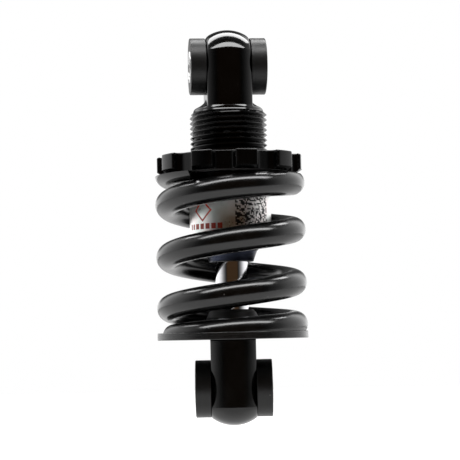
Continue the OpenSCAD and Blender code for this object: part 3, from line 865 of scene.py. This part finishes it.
label = {
    "radius": 12.5, "thick": 0.15, "gapDeg": 14, "columns": 150,
    "emblem": (-10.4, 6.9, 3.5), "emblemHole": 2.75,
    "bars": [(-16.8, -15.7), (-15.2, -14.2), (-13.6, -12.0), (-11.4, -9.9), (-9.3, -7.8), (-7.2, -5.7),
             (-5.1, -3.6)],
    "barHeights": (1.2, 2.9), "cellSize": 0.42, "cells": (0.4, 12.4, 2.0, 11.6), "cellShare": 0.48,
    "greenish": (0.74, 0.80, 0.77, 1), "pinkish": (0.84, 0.75, 0.74, 1), "silver": (0.80, 0.80, 0.79, 1),
    "red": (0.50, 0.05, 0.025, 1), "black": grey(0.012), "smooth": 0.26, "rough": 0.36, "depth": 0.008,
}


def boxMask(tree, u, v, left, right, low, high):
    across = times(tree, calc(tree, "GREATER_THAN", u, left), calc(tree, "LESS_THAN", u, right))
    up = times(tree, calc(tree, "GREATER_THAN", v, low), calc(tree, "LESS_THAN", v, high))
    return times(tree, across, up)


def diamondMask(tree, u, v, centreU, centreV, size):
    spread = plus(tree, calc(tree, "ABSOLUTE", minus(tree, u, centreU)),
                  calc(tree, "ABSOLUTE", minus(tree, v, centreV)))
    return calc(tree, "LESS_THAN", spread, size)


def labelMaterial(p):
    material, tree, shader = newMaterial("labelFilm", Specular_IOR_Level=0.5)
    uv = addNode(tree, "ShaderNodeUVMap", uv_map="surface").outputs["UV"]
    parts = addNode(tree, "ShaderNodeSeparateXYZ", {0: uv}).outputs
    u, v = parts["X"], parts["Y"]
    grain = placeGroup(tree, grainGroup, Size=0.4, Waviness=3.0)
    tint = noise(tree, addNode(tree, "ShaderNodeTexCoord").outputs["Object"], 0.16 / mm, 1.0)
    film = mixColour(tree, remap(tree, tint, *toneSpan), p["greenish"], p["pinkish"])
    film = mixColour(tree, remap(tree, grain["Tone"], 0.3, 0.7, 0.0, 0.5), film, p["silver"])
    low, high = p["barHeights"]
    red = None
    for left, right in p["bars"]:
        bar = boxMask(tree, u, v, left, right, low, high)
        red = bar if red is None else calc(tree, "MAXIMUM", red, bar)
    centreU, centreV, size = p["emblem"]
    diamond = minus(tree, diamondMask(tree, u, v, centreU, centreV, size),
                   diamondMask(tree, u, v, centreU, centreV, p["emblemHole"]))
    red = calc(tree, "MAXIMUM", red, diamond)
    cellU = calc(tree, "FLOOR", over(tree, u, p["cellSize"]))
    cellV = calc(tree, "FLOOR", over(tree, v, p["cellSize"]))
    cell = addNode(tree, "ShaderNodeCombineXYZ", {"X": cellU, "Y": cellV})
    chance = addNode(tree, "ShaderNodeTexWhiteNoise", {"Vector": cell.outputs[0]}, noise_dimensions="3D")
    chosen = calc(tree, "GREATER_THAN", chance.outputs["Value"], p["cellShare"])
    dark = times(tree, chosen, boxMask(tree, u, v, *p["cells"]))
    colour = mixColour(tree, dark, mixColour(tree, red, film, p["red"]), p["black"])
    ink = calc(tree, "MAXIMUM", red, dark)
    tree.links.new(calc(tree, "MULTIPLY_ADD", ink, -0.75, 0.8), shader.inputs["Metallic"])
    rough = remap(tree, grain["Tone"], 0.3, 0.7, p["smooth"], p["rough"])
    linkFinish(tree, shader, colour, rough, grain["Height"], p["depth"])
    return material


def makeLabel(p):
    top, bottom = heightsOf("tube_label")
    gap = math.radians(p["gapDeg"] / 2)
    front = -math.pi / 2
    angles = np.linspace(front - math.pi + gap, front + math.pi - gap, p["columns"] + 1)
    inner, outer = p["radius"] + 0.004, p["radius"] + p["thick"]
    rows = np.array([(inner, top), (outer, top), (outer, bottom), (inner, bottom), (inner, top)])
    sheet = sheetRound(rows[:, 0], rows[:, 1], angles)

    def flatUv(points, turn):
        return np.stack([(np.broadcast_to(turn, points.shape[:2]) - front) * outer, points[..., 2] - bottom], -1)

    piece = pieceFromSheets("tubeLabel", [sheet], upright, angles, 38, flatUv)
    work = bmesh.new()  # closes the two ends of the film
    work.from_mesh(piece.data)
    bmesh.ops.holes_fill(work, edges=[e for e in work.edges if e.is_boundary])
    bmesh.ops.recalc_face_normals(work, faces=work.faces)
    work.to_mesh(piece.data)
    work.free()
    return piece


addPiece(makeLabel(label), "housing", "label_film", labelMaterial(label), "tube_label")

# Lower end: rubber stop, spring plate and eye

bumpStop = {
    "hole": 5.15, "foot": 8.6, "footUp": 2.2, "footRound": 0.5, "waist": 7.6, "waistUp": 3.1, "waistRound": 0.4,
    "bulge": 8.2, "bulgeUp": 4.2, "bulgeRound": 0.6, "neck": 7.2, "neckDown": 0.8, "neckRound": 0.5,
    "top": 6.4, "edge": 0.3,
}
stopRubber = grainyMaterial("stopRubber", {
    "dark": grey(0.001), "light": grey(0.003), "wornHighlitEdge": grey(0.006), "smooth": 0.5, "rough": 0.65,
    "specular": 0.2, "grain": 0.5, "waves": 3.0, "depth": 0.02})


def makeStop(p):
    top, bottom = heightsOf("bump_stop")
    corners = [
        (p["hole"], bottom), (p["foot"], bottom, p["edge"]), (p["foot"], bottom + p["footUp"], p["footRound"]),
        (p["waist"], bottom + p["waistUp"], p["waistRound"]), (p["bulge"], bottom + p["bulgeUp"], p["bulgeRound"]),
        (p["neck"], top - p["neckDown"], p["neckRound"]), (p["top"], top, p["edge"]), (p["hole"], top, p["edge"])]
    return turnedPiece("bumpStop", corners, upright, 112)


addPiece(makeStop(bumpStop), "lower_seat", "bump_foam", stopRubber, "bump_stop")

plate = {
    "hole": 5.1, "radius": 23.25, "edge": 0.25, "thick": 2.2, "pilotRadius": 15.15, "pilotEdge": 0.5,
    "pilotWall": 1.5, "softEdge": 0.2,
}
satinBlack = grainyMaterial("satinBlack", {
    "dark": grey(0.0004), "light": grey(0.0011), "wornHighlitEdge": grey(0.02), "smooth": 0.14, "rough": 0.21,
    "specular": 0.4, "grain": 0.4, "waves": 6.0, "depth": 0.003, "edgeCover": 0.25, "speckCover": 0.1})
plateBlack = turnedMaterial("turnedSatinBlack", {
    "metallic": 0.0, "dark": grey(0.001), "light": grey(0.003), "wornHighlitEdge": grey(0.03), "smooth": 0.22, "rough": 0.34,
    "pitch": 0.3, "depth": 0.006, "edgeCover": 0.3})


def makePlate(p):
    top, bottom = heightsOf("lower_seat_plate")
    face, pilot, wall = bottom + p["thick"], p["pilotRadius"], p["pilotRadius"] - p["pilotWall"]
    corners = [
        (p["hole"], bottom, p["softEdge"]), (p["radius"], bottom, p["edge"]), (p["radius"], face, p["edge"]),
        (pilot, face, p["softEdge"]), (pilot, top, p["pilotEdge"]), (wall, top, p["softEdge"]), (wall, face),
        (p["hole"], face)]
    return turnedPiece("lowerSeatPlate", corners, upright, 192)


addPiece(makePlate(plate), "lower_seat", "satin_black", plateBlack, "lower_seat_plate")

lowerEye = {
    "columns": 176, "barRadius": 9.6, "ballRadius": 11.35, "flatHalf": 7.0, "flatEdge": 0.28,
    "rimRound": 0.35, "top": 15.1, "topEdge": 0.4, "boreRadius": 6.5, "socketRadius": 5.0, "socketDepth": 5.5,
    "rimAbove": 0.6, "rimBelow": 0.5, "barRows": 20, "rimRows": 14, "ballRows": 34, "sharpDeg": 33,
}


def makeLowerEye(p):
    angles, flat = flatSides(p)
    rimZ = -math.sqrt(p["ballRadius"] ** 2 - p["barRadius"] ** 2)  # where the bar meets the ball
    upper = np.linspace(p["top"] - p["topEdge"], rimZ + p["rimAbove"], p["barRows"])
    near = np.linspace(rimZ + p["rimAbove"], rimZ - p["rimBelow"], p["rimRows"])
    startAngle = math.asin((p["rimBelow"] - rimZ) / p["ballRadius"])
    below = -p["ballRadius"] * np.sin(np.linspace(startAngle, math.pi / 2, p["ballRows"]))
    levels = np.concatenate([[p["top"]], upper, near[1:], below[1:]])
    ball = np.sqrt(np.clip(p["ballRadius"] ** 2 - levels ** 2, 0, None))
    ball[levels > 0] = p["ballRadius"]
    width = smoothMin(np.full_like(ball, p["barRadius"]), ball, p["rimRound"])
    width = np.minimum(width, ball)
    width[0] -= p["topEdge"]
    width[-1] = 0
    radii = smoothMin(width[:, None], flat[None, :], p["flatEdge"])
    radii = np.clip(np.minimum(radii, width[:, None]), 0, None)
    radii[-1] = 0
    floor = p["top"] - p["socketDepth"]
    socket = np.array([(0, floor), (p["socketRadius"], floor), (p["socketRadius"], p["top"])])
    topFace = np.stack([np.full(len(angles), p["socketRadius"]), radii[0]])
    sheets = [sheetRound(socket[:, 0], socket[:, 1], angles), sheetRound(topFace, [p["top"]] * 2, angles),
              sheetRound(radii, levels, angles)]
    piece = pieceFromSheets("lowerEye", sheets, lowerPlace, angles, p["sharpDeg"])
    boreEye(piece, lowerPlace, p, p["sharpDeg"])
    return piece


addPiece(makeLowerEye(lowerEye), "rod", "satin_black", satinBlack, "lower_eye")

# Inner parts keep their own shapes and take a finish each

innerLooks = {
    "sinteredBronze": {
        "nodes": ["rod_guide"], "dark": (0.36, 0.23, 0.10, 1), "light": (0.50, 0.34, 0.16, 1),
        "metallic": 1.0, "smooth": 0.4, "rough": 0.55, "grain": 0.15, "depth": 0.02},
    "sealRubber": {
        "nodes": ["gland_o_ring", "rod_seal", "floating_piston_ring"], "dark": grey(0.010),
        "light": grey(0.018), "smooth": 0.4, "rough": 0.55, "grain": 0.3, "depth": 0.008},
    "redRubber": {
        "nodes": ["top_out_bumper"], "dark": (0.20, 0.03, 0.02, 1), "light": (0.28, 0.05, 0.035, 1),
        "smooth": 0.5, "rough": 0.6, "grain": 0.4, "depth": 0.01},
    "machinedBrass": {
        "nodes": ["piston", "floating_piston"], "dark": (0.58, 0.42, 0.17, 1), "light": (0.70, 0.53, 0.25, 1),
        "metallic": 1.0, "smooth": 0.2, "rough": 0.3, "grain": 0.2, "depth": 0.004},
    "whiteSlideRing": {
        "nodes": ["piston_ring"], "dark": grey(0.68), "light": grey(0.78),
        "smooth": 0.4, "rough": 0.5, "grain": 0.3, "depth": 0.006},
    "rolledShimSteel": {
        "nodes": ["rebound_shims", "compression_shims", "piston_nut"], "dark": grey(0.42), "light": grey(0.55),
        "metallic": 1.0, "smooth": 0.25, "rough": 0.35, "grain": 0.25, "depth": 0.003},
}
for name, look in innerLooks.items():
    # the edge colour is a lighter copy of the tone: part wear, part painted highlight
    material = grainyMaterial(name, {"wornHighlitEdge": tuple(min(1, 1.4 * c) for c in look["light"]), "waves": 3.0, **look})
    for node in look["nodes"]:
        mesh = frame["nodes"][node].data
        if not mesh.materials:
            mesh.materials.append(material)
        for index in range(len(mesh.materials)):
            mesh.materials[index] = material
print("inner parts finished")

# Studio: pale floor, white surround, a long box overhead and a soft one behind

studio = {
    "floorDrop": 42.0, "floorRadius": 900.0, "floorBack": 600.0, "floorGlow": 0.75,
    "frontDeg": 38.0, "sideDeg": 88.0, "frontGlow": 0.010, "sideGlow": 1.0,
    "backDeg": 35.0, "backGlow": 1.9, "behindDeg": 20.0, "behindGlow": 0.12, "bandGlow": 1.6, "band": (0.1, 0.2),
    "top": (0.55, 0.8), "topDim": 0.9, "floorFrom": (-0.2, -0.6), "floorLight": 0.35,
    "warmDeg": 46.0, "warmFade": 12.0, "warmFrom": (-0.3, -0.15), "warmGlow": (0.05, 0.028, 0.014, 1),
}


def makeFloor(p):
    work = bmesh.new()
    bmesh.ops.create_circle(work, cap_ends=True, segments=96, radius=p["floorRadius"] * mm)
    mesh = bpy.data.meshes.new("floor")
    work.to_mesh(mesh)
    work.free()
    mesh.transform(Matrix.Translation((0, p["floorBack"] * mm, cadBox[0].z - p["floorDrop"] * mm)))
    floor = bpy.data.objects.new("floor", mesh)
    collection.objects.link(floor)
    material, tree, shader = newMaterial("paleFloor", Roughness=0.8)
    paper = noise(tree, addNode(tree, "ShaderNodeTexCoord").outputs["Object"], 12.0, 2)
    tree.links.new(mixColour(tree, paper, grey(0.60), grey(0.64)), shader.inputs["Base Color"])
    shader.inputs["Emission Color"].default_value = (1, 1, 1, 1)
    seen = addNode(tree, "ShaderNodeLightPath").outputs["Is Camera Ray"]
    tree.links.new(times(tree, seen, p["floorGlow"]), shader.inputs["Emission Strength"])
    mesh.materials.append(material)
    return floor


def makeWorld(p):
    world = bpy.data.worlds.new("studioAir")
    bpy.context.scene.world = world
    world.use_nodes = True
    tree = world.node_tree
    tree.nodes.clear()
    direction = addNode(tree, "ShaderNodeTexCoord").outputs["Generated"]
    parts = addNode(tree, "ShaderNodeSeparateXYZ", {0: direction}).outputs
    flatSquare = plus(tree, times(tree, parts["X"], parts["X"]), times(tree, parts["Y"], parts["Y"]))
    flatLength = calc(tree, "MAXIMUM", calc(tree, "SQRT", flatSquare), 0.001)
    facing = over(tree, calc(tree, "ABSOLUTE", parts["Y"]), flatLength)
    sideways = calc(tree, "DEGREES", calc(tree, "ARCCOSINE", calc(tree, "MINIMUM", facing, 1.0)))
    isFront = calc(tree, "LESS_THAN", parts["Y"], 0.0)
    side = remap(tree, sideways, p["frontDeg"], p["sideDeg"])
    frontGlow = remap(tree, times(tree, side, side), 0.0, 1.0, p["frontGlow"], p["sideGlow"])
    backGlow = remap(tree, sideways, p["backDeg"], 90.0, p["backGlow"], p["sideGlow"])
    band = remap(tree, calc(tree, "ABSOLUTE", parts["Z"]), *p["band"], p["bandGlow"], p["behindGlow"])
    behind = remap(tree, sideways, p["behindDeg"], p["backDeg"], 1.0, 0.0)
    level = mixValue(tree, isFront, mixValue(tree, behind, backGlow, band), frontGlow)
    dimmed = times(tree, remap(tree, parts["Z"], *p["top"]), p["topDim"])
    level = times(tree, level, minus(tree, 1.0, dimmed))
    level = mixValue(tree, remap(tree, parts["Z"], *p["floorFrom"]), level, p["floorLight"])
    warm = times(tree, isFront, remap(tree, sideways, p["warmDeg"], p["warmDeg"] - p["warmFade"]))
    warm = times(tree, warm, remap(tree, parts["Z"], *p["warmFrom"]))
    level = mixColour(tree, warm, level, p["warmGlow"])
    around = addNode(tree, "ShaderNodeBackground", {"Color": level, "Strength": 1.0})
    seen = addNode(tree, "ShaderNodeBackground", {"Color": (1, 1, 1, 1), "Strength": 1.0})
    path = addNode(tree, "ShaderNodeLightPath").outputs["Is Camera Ray"]
    blend = addNode(tree, "ShaderNodeMixShader", {0: path, 1: around.outputs[0], 2: seen.outputs[0]})
    tree.links.new(blend.outputs[0], addNode(tree, "ShaderNodeOutputWorld").inputs["Surface"])


def makeBox(name, elevation, distance, length, width, radiance):
    # a light box over the object, elevation measured from the front horizon over the top
    light = bpy.data.lights.new(name, "AREA")
    light.shape, light.size, light.size_y = "RECTANGLE", length * mm, width * mm
    light.energy = 4 * radiance * light.size * light.size_y
    box = bpy.data.objects.new(name, light)
    collection.objects.link(box)
    a = math.radians(elevation)
    toward = Vector((0, -math.cos(a), math.sin(a)))
    box.location = lowerBolt / 2 + toward * distance * mm
    box.rotation_euler = toward.to_track_quat("Z", "Y").to_euler()
    return box


makeFloor(studio)
makeWorld(studio)
boxes = {
    "frontStrip": {"elevation": 66, "distance": 800, "length": 1500, "width": 240, "radiance": 8.5},
    "backBox": {"elevation": 112, "distance": 800, "length": 1200, "width": 290, "radiance": 7},
}
for name, box in boxes.items():
    makeBox(name, **box)

camera = {
    "azimuth": -5.0, "distance": 480.0, "height": -83.4, "aimHeight": -51.13, "aimLeft": 0.21, "roll": -1.25,
    "lens": 121.4, "sensor": 36, "near": 0.01, "far": 20,
}


def makeCamera(p):
    data = bpy.data.cameras.new("camera")
    data.lens, data.sensor_width = p["lens"], p["sensor"]
    data.clip_start, data.clip_end = p["near"], p["far"]
    eye = bpy.data.objects.new("camera", data)
    collection.objects.link(eye)
    a = math.radians(p["azimuth"])
    right = Vector((math.cos(a), math.sin(a), 0))
    eye.location = Vector((math.sin(a) * p["distance"], -math.cos(a) * p["distance"], p["height"])) * mm
    target = Vector((0, 0, p["aimHeight"])) * mm - right * p["aimLeft"] * mm
    look = (target - eye.location).to_track_quat("-Z", "Y").to_matrix().to_4x4()
    eye.matrix_world = Matrix.Translation(eye.location) @ look @ Matrix.Rotation(math.radians(p["roll"]), 4, "Z")
    bpy.context.scene.camera = eye


makeCamera(camera)
bpy.context.scene.view_settings.view_transform = "Standard"
bpy.context.scene.view_settings.look = "None"
print("studio ready")
